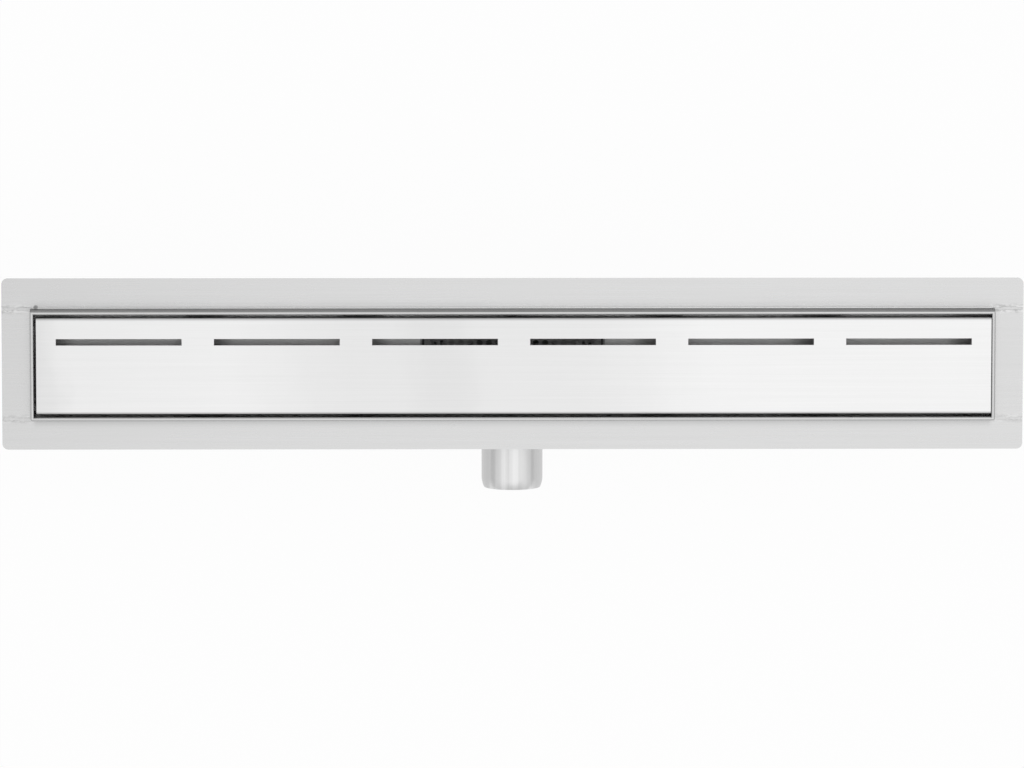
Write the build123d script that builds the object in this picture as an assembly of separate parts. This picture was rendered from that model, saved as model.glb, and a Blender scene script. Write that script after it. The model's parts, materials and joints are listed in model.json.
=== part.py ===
from build123d import *
import os
from math import atan2, cos, degrees, hypot, sin, tan

# A linear shower drain: a folded sheet channel with hemmed rim and flange, a sump with an outlet
# pipe, a trap insert with its seal, a strainer, a slotted cover and four levelling feet.
# Millimetres. Z = 0 is the top of the rim and of the cover, which is the finished floor.
# X runs along the channel, and the outlet leaves towards -Y.

# Channel body
drain_length = 830.0
drain_width = 140.0
flange_width = 25.0
end_flange_width = 23.5
flange_corner = 5.0
body_sheet = 1.2
rim_height = 16.0
rim_corner = 2.4
hem_gap = 0.8
flange_bend = 1.0
trough_depth = 32.0
floor_bend = 2.0

# Cover and its supports
cover_sheet = 1.5
cover_bend = 1.3
cover_skirt = 12.0
cover_end_gap = 1.2
cover_side_gap = 2.2
cover_shift = 0.85
slot_count = 6
slot_length = 101.9
slot_width = 5.3
slot_row = 19.7
slot_end_margin = 15.9
support_sheet = 1.5
support_bend = 1.5
support_width = 20.0
support_inset = 9.0
support_foot = 8.0

# Well in the trough's floor and the sump under it
well_length = 150.0
well_margin = 5.4
well_corner = 10.0
sump_ledge = 2.0
sump_flange = 5.0
sump_bend = 10.0

# Trap insert and seal
insert_rim = 1.4
insert_clearance = 0.4
insert_wall = 2.0
insert_floor = 2.0
insert_drop = 3.0
dip_length = 84.0
dip_width = 36.0
dip_end_gap = 8.0
water_seal = 20.0
seal_gap = 2.5
seal_play = 0.1
seal_band = 1.0
seal_fin = 1.0
seal_height = 6.0
seal_drop = 0.6

# Strainer
strainer_sheet = 1.0
strainer_gap = 1.4
strainer_lip = 6.6
strainer_corner = 6.0
strainer_depth = 15.0
strainer_ramp = 13.0
strainer_taper = 3.0
hole_diameter = 5.0
hole_sides = 12
hole_pitch = 7.65
hole_row_pitch = 9.0
hole_margin = 1.5

# Outlet pipe
pipe_diameter = 50.0
pipe_wall = 1.2
pipe_drop = 1.0
pipe_reach = 37.4
neck_length = 8.7
neck_step = 2.0

# Levelling feet
foot_inset = 115.0
foot_clearance = 6.0
bracket_sheet = 2.0
bracket_bend = 2.0
bracket_width = 25.0
bracket_gap = 2.8
bracket_height = 55.0
bracket_margin = 9.0
bracket_hole_play = 0.5
stud_inset = 14.0
stud_diameter = 8.0
stud_headroom = 6.8
thread_play = 0.15
nut_width = 13.0
nut_height = 6.5
pad_diameter = 30.0
pad_base = 4.0
pad_cone = 4.0
pad_boss_diameter = 16.0
pad_boss = 4.0
pad_socket = 6.0

# Plan sizes that follow from them
hem_width = 2 * body_sheet + hem_gap
hem_radius = hem_gap / 2 + body_sheet
rim_length = drain_length - 2 * end_flange_width
rim_width = drain_width - 2 * flange_width
opening_length = rim_length - 2 * hem_width
opening_width = rim_width - 2 * hem_width
wall_outside = opening_width / 2 + body_sheet
cover_length = opening_length - 2 * cover_end_gap
cover_width = opening_width - 2 * cover_side_gap
well_width = opening_width - 2 * well_margin
sump_length = well_length - 2 * sump_ledge
sump_width = well_width - 2 * sump_ledge
insert_length = sump_length - 2 * seal_gap
insert_width = sump_width - 2 * seal_gap
strainer_length = well_length - 2 * strainer_gap
strainer_width = well_width - 2 * strainer_gap
slot_pitch = (cover_length - 2 * slot_end_margin - slot_length) / (slot_count - 1)
foot_spacing = drain_length - 2 * foot_inset
stud_offset = wall_outside - stud_inset

# Heights that follow from them
flange_under = -rim_height - body_sheet
floor_top = -trough_depth
floor_under = floor_top - body_sheet
ledge_top = floor_top - strainer_sheet - insert_rim
strainer_floor = floor_top - strainer_depth
insert_floor_top = strainer_floor - strainer_sheet - insert_drop
seal_top = ledge_top - seal_drop
seal_bottom = seal_top - seal_height
pipe_axis = seal_bottom - pipe_drop - pipe_diameter / 2
pipe_invert = pipe_axis - pipe_diameter / 2 + pipe_wall
dip_bottom = pipe_invert - water_seal
sump_floor = dip_bottom - dip_end_gap
sump_under = sump_floor - body_sheet
pad_under = sump_under - foot_clearance
pad_top = pad_under + pad_base + pad_cone + pad_boss
bracket_top = flange_under - bracket_gap
leg_under = bracket_top - bracket_height
leg_top = leg_under + bracket_sheet


def slab(sketch, low, high):
    """A plan outline carried from one height up to another."""
    return extrude(Pos(0, 0, low) * sketch, amount=high - low)


def rounded(length, width, corner):
    """A plan rectangle with round corners, centred on the origin."""
    return RectangleRounded(length, width, corner)


def along_x(section, length):
    """A section drawn in Y and Z, carried evenly both ways along X."""
    return extrude(Plane.YZ * section, amount=length / 2, both=True)


def rim_fold(inner_face):
    """The middle of the sheet over the hem, from the inner leaf at inner_face to the outer leaf."""
    inner = inner_face + body_sheet / 2
    outer = inner_face + hem_width - body_sheet / 2
    crown = (inner_face + hem_width / 2, -body_sheet / 2)
    return ThreePointArc((inner, -hem_radius), crown, (outer, -hem_radius))


def rim_and_flange(inner_face, reach):
    """The middle of the sheet from the hem down the outer leaf and out along the flange."""
    outer = inner_face + hem_width - body_sheet / 2
    level = flange_under + body_sheet / 2
    points = ((outer, -hem_radius), (outer, level), (reach, level))
    return FilletPolyline(*points, radius=flange_bend + body_sheet / 2)


def trough_section():
    """The folded section: floor, walls, hemmed rims and flanges in one sheet."""
    inner_face = opening_width / 2
    middle = inner_face + body_sheet / 2
    level = floor_under + body_sheet / 2
    points = ((0, level), (middle, level), (middle, -hem_radius))
    floor_and_wall = FilletPolyline(*points, radius=floor_bend + body_sheet / 2)
    rim = rim_fold(inner_face) + rim_and_flange(inner_face, drain_width / 2)
    half = trace(floor_and_wall + rim, body_sheet)
    return half + mirror(half, about=Plane.YZ)


def end_plan():
    """The plan of the end sheet at +X: mitred under the rim, straight between the long flanges."""
    inner_x = opening_length / 2
    outer_x = rim_length / 2
    side = [
        (inner_x, opening_width / 2),
        (outer_x, rim_width / 2),
        (drain_length / 2, rim_width / 2),
    ]
    other_side = [(x, -y) for x, y in reversed(side)]
    return make_face(Polyline(*side, *other_side, close=True))


def rim_corner_trim():
    """What is dressed off the four outer corners of the rim, above the flange."""
    outline = Rectangle(rim_length, rim_width) - rounded(rim_length, rim_width, rim_corner)
    return slab(outline, -rim_height, 0)


def channel_trough():
    """The long folded sheet, with the corners of its flanges and the cut-out for the well."""
    body = along_x(trough_section(), rim_length)
    end_cut = slab(end_plan(), floor_under, 0)
    body = body - end_cut - mirror(end_cut, about=Plane.YZ)
    corners = rounded(drain_length, drain_width, flange_corner)
    corners = corners - Rectangle(rim_length, drain_width) - Rectangle(drain_length, rim_width)
    body = body + slab(corners, flange_under, -rim_height)
    well = slab(rounded(well_length, well_width, well_corner), floor_under, floor_top)
    return body - well - rim_corner_trim()


def end_plate():
    """The end sheet at +X: a wall that closes the trough, with its own hem and flange."""
    inner_face = opening_length / 2
    middle = inner_face + body_sheet / 2
    wall = Line((middle, floor_under), (middle, -hem_radius))
    rim = rim_fold(inner_face) + rim_and_flange(inner_face, drain_length / 2)
    sheet = extrude(Plane.XZ * trace(wall + rim, body_sheet), amount=rim_width / 2, both=True)
    corner = floor_bend + body_sheet
    lower = Pos(0, floor_under + trough_depth) * rounded(2 * wall_outside, 2 * trough_depth, corner)
    upper = Pos(0, flange_under / 2) * Rectangle(rim_width, -flange_under)
    sheet = sheet & slab(end_plan(), floor_under, 0)
    sheet = sheet & along_x(lower + upper, drain_length)
    return sheet - rim_corner_trim()


def slot_centres():
    """The middle of each slot along the cover."""
    first = cover_shift - slot_pitch * (slot_count - 1) / 2
    return [first + slot_pitch * index for index in range(slot_count)]


def cover_plate():
    """The cover: a folded sheet with a skirt down each long side and one row of slots."""
    middle = cover_width / 2 - cover_sheet / 2
    level = -cover_sheet / 2
    points = ((-middle, -cover_skirt), (-middle, level), (middle, level), (middle, -cover_skirt))
    section = trace(FilletPolyline(*points, radius=cover_bend + cover_sheet / 2), cover_sheet)
    cover = Pos(cover_shift, 0, 0) * along_x(section, cover_length)
    for centre in slot_centres():
        slot = Pos(centre, slot_row) * Rectangle(slot_length, slot_width)
        cover = cover - slab(slot, -cover_sheet, 0)
    return cover


def support_centres():
    """The webs between slots that have trough floor under them, clear of the well."""
    webs = [centre + slot_pitch / 2 for centre in slot_centres()[:-1]]
    return [web for web in webs if abs(web) > (well_length + support_width) / 2]


def cover_support():
    """A bent strip that stands on the trough's floor and carries the cover."""
    leg = cover_width / 2 - support_inset
    top = -cover_sheet - support_sheet / 2
    level = floor_top + support_sheet / 2
    toe = leg + support_foot
    points = ((-toe, level), (-leg, level), (-leg, top), (leg, top), (leg, level), (toe, level))
    section = trace(FilletPolyline(*points, radius=support_bend + support_sheet / 2), support_sheet)
    return along_x(section, support_width)


def sump_tub():
    """The pressed tub under the well, with a flange under the trough's floor and a ledge inside."""
    walls = 2 * body_sheet
    collar_length = well_length + walls
    collar_width = well_width + walls
    collar_corner = well_corner + body_sheet
    collar = rounded(collar_length, collar_width, collar_corner)
    spread = 2 * sump_flange
    flange = rounded(collar_length + spread, collar_width + spread, collar_corner + sump_flange)
    corner = well_corner - sump_ledge
    tub = rounded(sump_length + walls, sump_width + walls, corner + body_sheet)
    outside = slab(tub, sump_under, ledge_top)
    outside = fillet(outside.faces().sort_by(Axis.Z)[0].edges(), sump_bend + body_sheet)
    inside = slab(rounded(sump_length, sump_width, corner), sump_floor, floor_under)
    inside = fillet(inside.faces().sort_by(Axis.Z)[0].edges(), sump_bend)
    shell = slab(flange, floor_under - body_sheet, floor_under)
    shell = shell + slab(collar, ledge_top - body_sheet, floor_under) + outside
    shell = shell - slab(rounded(well_length, well_width, well_corner), ledge_top, floor_under) - inside
    bore = extrude(Circle(pipe_diameter / 2 - pipe_wall), amount=sump_width)
    return shell - Pos(0, 0, pipe_axis) * Rot(90, 0, 0) * bore


def outlet_spigot():
    """The outlet pipe: a thin tube off the tub's front wall, drawn in a little at its free end."""
    front = sump_width / 2 + body_sheet
    length = drain_width / 2 + pipe_reach - front
    straight = length - neck_length
    outer = pipe_diameter / 2
    inner = outer - pipe_wall
    profile = Polyline((inner, straight), (inner, 0), (outer, 0), (outer, straight))
    profile += TangentArc((outer, straight), (outer - neck_step, length), tangent=(0, 1))
    profile += Line((outer - neck_step, length), (inner - neck_step, length))
    profile += TangentArc((inner, straight), (inner - neck_step, length), tangent=(0, 1))
    tube = revolve(Plane.XZ * make_face(profile), Axis.Z)
    return Pos(0, -front, pipe_axis) * Rot(90, 0, 0) * tube


def trap_insert():
    """The plastic cup that hangs on the tub's ledge, with an oblong dip tube through its floor."""
    rim_length_out = well_length - 2 * insert_clearance
    rim_width_out = well_width - 2 * insert_clearance
    rim = rounded(rim_length_out, rim_width_out, well_corner - insert_clearance)
    corner = well_corner - sump_ledge - seal_gap
    cup = rounded(insert_length, insert_width, corner)
    hollow = rounded(insert_length - 2 * insert_wall, insert_width - 2 * insert_wall, corner - insert_wall)
    top = ledge_top + insert_rim
    floor_low = insert_floor_top - insert_floor
    body = slab(rim, ledge_top, top) + slab(cup, floor_low, ledge_top)
    body = body - slab(hollow, insert_floor_top, top)
    body = body + slab(SlotOverall(dip_length, dip_width), dip_bottom, floor_low)
    passage = SlotOverall(dip_length - 2 * insert_wall, dip_width - 2 * insert_wall)
    return body - slab(passage, dip_bottom, insert_floor_top)


def trap_seal():
    """The rubber ring round the cup: a band with a fin at its top and bottom towards the tub."""
    corner = well_corner - sump_ledge - seal_gap
    inside = rounded(insert_length + 2 * seal_play, insert_width + 2 * seal_play, corner + seal_play)
    grow = seal_play + seal_band
    band = rounded(insert_length + 2 * grow, insert_width + 2 * grow, corner + grow)
    grow = seal_gap - seal_play
    fin = rounded(insert_length + 2 * grow, insert_width + 2 * grow, corner + grow)
    ring = slab(band, seal_bottom, seal_top)
    ring = ring + slab(fin, seal_top - seal_fin, seal_top) + slab(fin, seal_bottom, seal_bottom + seal_fin)
    return ring - slab(inside, seal_bottom, seal_top)


def basket(mouth_grow, floor_grow, drop):
    """The strainer's boat shape, from its mouth down to its floor.

    mouth_grow and floor_grow widen it at the ends and sides, and drop lowers it, to give the
    sheet its thickness.
    """
    mouth_length = strainer_length - 2 * strainer_lip
    mouth_width = strainer_width - 2 * strainer_lip
    end_grow, side_grow = mouth_grow
    mouth = rounded(mouth_length + 2 * end_grow, mouth_width + 2 * side_grow, strainer_corner + side_grow)
    end_grow, side_grow = floor_grow
    floor_length = mouth_length - 2 * strainer_ramp + 2 * end_grow
    floor_width = mouth_width - 2 * strainer_taper + 2 * side_grow
    floor = rounded(floor_length, floor_width, strainer_corner + side_grow)
    return loft([Pos(0, 0, floor_top - drop) * mouth, Pos(0, 0, strainer_floor - drop) * floor], ruled=True)


def row_places(half_span, pitch, shifted):
    """Evenly pitched places within half_span of the middle, or half a pitch off when shifted."""
    offset = pitch / 2 if shifted else 0.0
    reach = int((half_span - offset) // pitch)
    places = [offset + pitch * index for index in range(reach + 1)]
    return sorted({sign * place for place in places for sign in (-1, 1)})


def strainer_holes():
    """The punched holes: staggered rows over the floor, and square to the sheet on both ramps."""
    reach = hole_margin + hole_diameter / 2
    half_length = strainer_length / 2 - strainer_lip - strainer_ramp
    half_width = strainer_width / 2 - strainer_lip - strainer_taper
    outline = RegularPolygon(hole_diameter / 2, hole_sides)
    punch = extrude(outline, amount=2 * strainer_sheet, both=True)
    slope = atan2(strainer_depth, strainer_ramp)
    ramp = hypot(strainer_depth, strainer_ramp)
    ramp_places = row_places(ramp / 2 - reach, hole_pitch, True)
    punches = []
    rows = row_places(half_width - reach, hole_row_pitch, True)
    for index, y in enumerate(rows):
        for x in row_places(half_length - reach, hole_pitch, index % 2 == 1):
            punches.append(Pos(x, y, strainer_floor) * punch)
        for place in ramp_places:
            x = half_length + strainer_ramp / 2 + place * cos(slope)
            z = floor_top - strainer_depth / 2 + place * sin(slope)
            tilt = degrees(slope)
            punches.append(Pos(x, y, z) * Rot(0, -tilt, 0) * punch)
            punches.append(Pos(-x, y, z) * Rot(0, tilt, 0) * punch)
    return punches


def strainer():
    """The perforated basket, hung by its lip on the trap insert's rim."""
    end_grow = strainer_sheet * tan(atan2(strainer_depth, strainer_ramp) / 2)
    side_grow = strainer_sheet * tan(atan2(strainer_depth, strainer_taper) / 2)
    grow = (end_grow, side_grow)
    lip = rounded(strainer_length, strainer_width, well_corner - strainer_gap)
    body = slab(lip, floor_top - strainer_sheet, floor_top) + basket(grow, grow, strainer_sheet)
    return body - basket((0, 0), (0, 0), 0) - strainer_holes()


def foot_bracket():
    """An angle welded to the trough's wall, with its leg under the floor and a hole for the stud."""
    upright = wall_outside + bracket_sheet / 2
    level = leg_under + bracket_sheet / 2
    points = ((upright, bracket_top), (upright, level), (stud_offset - bracket_margin, level))
    section = trace(FilletPolyline(*points, radius=bracket_bend + bracket_sheet / 2), bracket_sheet)
    hole = Pos(0, stud_offset) * Circle(stud_diameter / 2 + bracket_hole_play)
    return along_x(section, bracket_width) - slab(hole, leg_under, leg_top)


def foot_stud():
    """The threaded rod, from its head room under the trough's floor down to the pad's socket."""
    rod = Circle(stud_diameter / 2)
    return Pos(0, stud_offset, 0) * slab(rod, pad_top - pad_socket, floor_under - stud_headroom)


def foot_pad():
    """The round foot: a flat disc that rises in a cone to a boss with a blind socket."""
    disc = pad_diameter / 2
    boss = pad_boss_diameter / 2
    socket = stud_diameter / 2 + thread_play
    points = (
        (0, pad_under),
        (disc, pad_under),
        (disc, pad_under + pad_base),
        (boss, pad_under + pad_base + pad_cone),
        (boss, pad_top),
        (socket, pad_top),
        (socket, pad_top - pad_socket),
        (0, pad_top - pad_socket),
    )
    pad = revolve(Plane.XZ * make_face(Polyline(*points, close=True)), Axis.Z)
    return Pos(0, stud_offset, 0) * pad


def foot_nut_pair():
    """The two nuts that clamp the stud above and below the bracket's leg."""
    plan = RegularPolygon(nut_width / 2, 6, major_radius=False)
    plan = Pos(0, stud_offset) * (plan - Circle(stud_diameter / 2 + thread_play))
    return [slab(plan, leg_top, leg_top + nut_height), slab(plan, leg_under - nut_height, leg_under)]


def placed(shape, end, side):
    """A foot's piece, made at the middle of the +Y wall, at its own end and side of the channel."""
    if side < 0:
        shape = mirror(shape, about=Plane.XZ)
    return Pos(end * foot_spacing / 2, 0, 0) * shape


def build_nodes():
    """Every piece under its own name."""
    right_end = end_plate()
    nodes = {
        "channel_trough": channel_trough(),
        "end_plate_left": mirror(right_end, about=Plane.YZ),
        "end_plate_right": right_end,
        "sump_tub": sump_tub(),
        "outlet_spigot": outlet_spigot(),
        "trap_insert": trap_insert(),
        "trap_seal": trap_seal(),
        "strainer": strainer(),
        "cover_plate": cover_plate(),
    }
    for number, centre in enumerate(support_centres(), start=1):
        nodes[f"cover_support_{number}"] = Pos(centre, 0, 0) * cover_support()
    nuts = []
    corners = [(end, side) for end in (-1, 1) for side in (-1, 1)]
    for number, (end, side) in enumerate(corners, start=1):
        nodes[f"foot_bracket_{number}"] = placed(foot_bracket(), end, side)
        nodes[f"foot_stud_{number}"] = placed(foot_stud(), end, side)
        nodes[f"foot_pad_{number}"] = placed(foot_pad(), end, side)
        nuts += [placed(nut, end, side) for nut in foot_nut_pair()]
    nodes["foot_nuts"] = Compound(children=nuts)
    return nodes


os.makedirs("parts", exist_ok=True)
for node_name, node_shape in build_nodes().items():
    export_step(node_shape, f"parts/{node_name}.step")
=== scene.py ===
"""Looks of a linear shower drain: finishes, welds, threads, studio and camera.

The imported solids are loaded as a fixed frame. This script gives each of them its finish, replaces
the outlet pipe and the small turned parts with finer surfaces, and adds the weld seams.
"""
import json
import logging
import math
from collections.abc import Callable
from dataclasses import dataclass, field, replace
from enum import Enum
from typing import NamedTuple

import bpy
import numpy as np
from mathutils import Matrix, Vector


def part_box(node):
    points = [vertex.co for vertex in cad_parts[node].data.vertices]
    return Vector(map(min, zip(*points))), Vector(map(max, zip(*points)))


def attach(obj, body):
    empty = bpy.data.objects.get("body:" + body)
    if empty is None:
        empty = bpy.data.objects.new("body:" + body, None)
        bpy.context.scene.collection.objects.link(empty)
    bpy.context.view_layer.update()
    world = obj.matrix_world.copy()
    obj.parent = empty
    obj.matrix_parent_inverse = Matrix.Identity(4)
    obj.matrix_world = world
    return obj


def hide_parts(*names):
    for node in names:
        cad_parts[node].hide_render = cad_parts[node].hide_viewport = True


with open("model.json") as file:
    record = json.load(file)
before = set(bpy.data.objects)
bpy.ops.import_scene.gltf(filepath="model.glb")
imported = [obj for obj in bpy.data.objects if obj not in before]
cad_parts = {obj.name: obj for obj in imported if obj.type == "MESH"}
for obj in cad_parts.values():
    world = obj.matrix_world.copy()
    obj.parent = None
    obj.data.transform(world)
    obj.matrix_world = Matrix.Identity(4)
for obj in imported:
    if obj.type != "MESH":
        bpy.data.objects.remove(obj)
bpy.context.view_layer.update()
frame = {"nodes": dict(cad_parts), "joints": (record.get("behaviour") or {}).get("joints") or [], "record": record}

MILLIMETRE = 0.001
MEAN_NOISE = 0.5
BEAD_POINTS = 14
BEAD_SINK = 0.1
BEAD_SHARP = 60.0
BEAD_WAVES = 3
SEED_STEP = 100
log = logging.getLogger("shower_drain")


class BrushAxis(Enum):
    """The direction that the lines of a brushed finish run in, as the turn that lays it on X."""

    ALONG_CHANNEL = (0.0, 0.0, 0.0)
    ALONG_PIPE = (0.0, 0.0, math.pi / 2)
    UPRIGHT = (0.0, math.pi / 2, 0.0)


def operation(name: str, swapped: bool = False) -> Callable[..., "Value"]:
    """A method that joins a value to another number by a math node.

    Args:
        name: The math node's operation.
        swapped: Whether the other number comes first.

    Returns:
        The method.
    """

    def join(self: "Value", other: "Value | float" = 0.0) -> "Value":
        """Join the two numbers."""
        node = self.graph.add("Math", {int(swapped): self, int(not swapped): other}, operation=name)
        return Value(self.graph, node.outputs[0])

    return join


class Value:
    """A number that changes over a surface: a node's output, which operators join to other numbers."""

    def __init__(self, graph: "Graph", socket: bpy.types.NodeSocket) -> None:
        """Keep the output with the graph that it belongs to."""
        self.graph = graph
        self.socket = socket

    __add__ = __radd__ = operation("ADD")
    __sub__ = operation("SUBTRACT")
    __rsub__ = operation("SUBTRACT", swapped=True)
    __mul__ = __rmul__ = operation("MULTIPLY")
    __truediv__ = operation("DIVIDE")
    __mod__ = operation("FLOORED_MODULO")
    __pow__ = operation("POWER")
    __lt__ = operation("LESS_THAN")
    __gt__ = operation("GREATER_THAN")
    __abs__ = operation("ABSOLUTE")
    larger = operation("MAXIMUM")

    def ramp(self, low: float, high: float, to_low: float = 0.0, to_high: float = 1.0) -> "Value":
        """Carry the value smoothly from one range to another and stop at its ends.

        Args:
            low: Where the range starts.
            high: Where the range ends.
            to_low: The result at the start.
            to_high: The result at the end.

        Returns:
            The result.
        """
        numbers = {"Value": self, "From Min": low, "From Max": high, "To Min": to_low, "To Max": to_high}
        node = self.graph.add("MapRange", numbers, interpolation_type="SMOOTHSTEP")
        return Value(self.graph, node.outputs["Result"])

    def fade(self, low: float, high: float) -> "Value":
        """1 up to the first number, and smoothly down to 0 at the second."""
        return self.ramp(low, high, 1.0, 0.0)


class Place(NamedTuple):
    """A vector's three numbers."""

    x: Value
    y: Value
    z: Value


@dataclass(frozen=True)
class Grain:
    """A layer of noise.

    Args:
        scale: Features per metre, as one number, or as three along X, Y and Z.
        detail: How many finer layers it has.
        roughness: How strong the finer layers are.
    """

    scale: float | tuple[float, float, float] | Value
    detail: float = 2.0
    roughness: float = 0.5


class Graph:
    """A node tree with short calls to add and join nodes."""

    def __init__(self, tree: bpy.types.NodeTree) -> None:
        """Start from an empty tree."""
        self.tree = tree
        tree.nodes.clear()

    def add(
        self, kind: str, feeds: dict[str | int, object] | None = None, **settings: object
    ) -> bpy.types.Node:
        """Add a node.

        Args:
            kind: The node's class name without its leading ShaderNode.
            feeds: What its inputs get, by their names or places.
            settings: Properties to set on the node.

        Returns:
            The new node.
        """
        name = kind if kind.startswith("NodeGroup") else "ShaderNode" + kind
        node = self.tree.nodes.new(name)
        for key, value in settings.items():
            setattr(node, key, value)
        for key, value in (feeds or {}).items():
            self.feed(node.inputs[key], value)
        return node

    def feed(self, socket: bpy.types.NodeSocket, value: object) -> None:
        """Join an output to an input, or set the input to a constant.

        Args:
            socket: The input.
            value: The output or the constant.
        """
        if isinstance(value, Value):
            value = value.socket
        if isinstance(value, bpy.types.NodeSocket):
            self.tree.links.new(value, socket)
        else:
            socket.default_value = value

    def noise(self, vector: bpy.types.NodeSocket, grain: Grain) -> Value:
        """A layer of noise over the surface, about its mean of a half.

        Args:
            vector: The coordinates it is read at.
            grain: The layer.

        Returns:
            Its value.
        """
        scale = grain.scale
        if isinstance(scale, tuple):
            vector = self.mapped(vector, Scale=scale)
            scale = 1.0
        numbers = {"Vector": vector, "Scale": scale, "Detail": grain.detail, "Roughness": grain.roughness}
        return Value(self, self.add("TexNoise", numbers).outputs["Fac"])

    def mapped(
        self, vector: bpy.types.NodeSocket, **change: tuple[float, float, float]
    ) -> bpy.types.NodeSocket:
        """Coordinates with a Scale along each axis or a Rotation about each, in radians."""
        return self.add("Mapping", {"Vector": vector, **change}).outputs["Vector"]

    def outputs(self, node: bpy.types.Node) -> dict[str, Value]:
        """A node's outputs by name."""
        return {socket.name: Value(self, socket) for socket in node.outputs}

    def split(self, vector: bpy.types.NodeSocket) -> Place:
        """A vector's three numbers."""
        node = self.add("SeparateXYZ", {0: vector})
        return Place(*self.outputs(node).values())

    def mix(
        self, share: Value, first: bpy.types.NodeSocket, second: bpy.types.NodeSocket
    ) -> bpy.types.NodeSocket:
        """Two shaders mixed, with the second one's share."""
        return self.add("MixShader", {0: share, 1: first, 2: second}).outputs[0]

    def grey(self, value: Value) -> bpy.types.NodeSocket:
        """A neutral colour from one value."""
        return self.add("CombineColor", {0: value, 1: value, 2: value}).outputs[0]


class Group(Graph):
    """A shader node group with a Vector input, number inputs and number outputs."""

    def __init__(self, name: str, inputs: dict[str, float], *outputs: str) -> None:
        """Start the group.

        Args:
            name: The group's name.
            inputs: Each number input with its default.
            outputs: The number outputs.
        """
        super().__init__(bpy.data.node_groups.new(name, "ShaderNodeTree"))
        sockets = self.tree.interface
        sockets.new_socket(name="Vector", in_out="INPUT", socket_type="NodeSocketVector")
        for title, number in inputs.items():
            socket = sockets.new_socket(name=title, in_out="INPUT", socket_type="NodeSocketFloat")
            socket.default_value = number
        for title in outputs:
            sockets.new_socket(name=title, in_out="OUTPUT", socket_type="NodeSocketFloat")
        self.source = self.add("NodeGroupInput")
        self.sink = self.add("NodeGroupOutput")
        self.vector = self.source.outputs["Vector"]

    def given(self, title: str) -> Value:
        """A number input's value."""
        return Value(self, self.source.outputs[title])

    def put_out(self, title: str, value: Value) -> None:
        """Join a value to an output."""
        self.feed(self.sink.inputs[title], value)


def brushed_sheet_group() -> bpy.types.NodeTree:
    """The brushed sheet effect: fine lines along X, broad streaks and soft clouds.

    Lines and streaks are noise read on coordinates that are pressed together along X. Clouds are
    noise in patches that are longer across the sheet than along it, as polishing leaves them.

    Returns:
        The group, which puts out Tone, a tint about 1, Gloss, a change of roughness about 0, and
        Height, for a bump.
    """
    inputs = {"Line Tone": 0.05, "Streak Tone": 0.05, "Cloud Tone": 0.05, "Gloss Change": 0.08}
    group = Group("brushed_sheet", inputs, "Tone", "Gloss", "Height")
    lines = group.noise(group.vector, Grain((6.0, 1500.0, 1500.0), 3.0, 0.7))
    streaks = group.noise(group.vector, Grain((3.0, 260.0, 260.0), 2.0, 0.6))
    clouds = group.noise(group.vector, Grain((16.0, 7.0, 7.0), 3.0, 0.55))
    tone = 1.0
    for layer, title in ((lines, "Line Tone"), (streaks, "Streak Tone"), (clouds, "Cloud Tone")):
        tone = tone + (layer - MEAN_NOISE) * group.given(title)
    group.put_out("Tone", tone)
    group.put_out("Gloss", ((streaks + clouds) * 0.5 - MEAN_NOISE) * group.given("Gloss Change"))
    group.put_out("Height", lines)
    return group.tree


def speckle_group() -> bpy.types.NodeTree:
    """The fine speckle of moulded plastic, rubber and plated metal.

    Returns:
        The group, which puts out Tone, a tint about 1, and Height, for a bump.
    """
    group = Group("speckle", {"Amount": 0.2, "Patch Scale": 90.0}, "Tone", "Height")
    grain = group.noise(group.vector, Grain(2600.0, 2.0, 0.6))
    patches = group.noise(group.vector, Grain(group.given("Patch Scale"), 3.0, 0.6))
    group.put_out("Tone", ((grain + patches) * 0.5 - MEAN_NOISE) * group.given("Amount") + 1.0)
    group.put_out("Height", grain)
    return group.tree


BRUSHED_SHEET = brushed_sheet_group()
SPECKLE = speckle_group()


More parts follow.
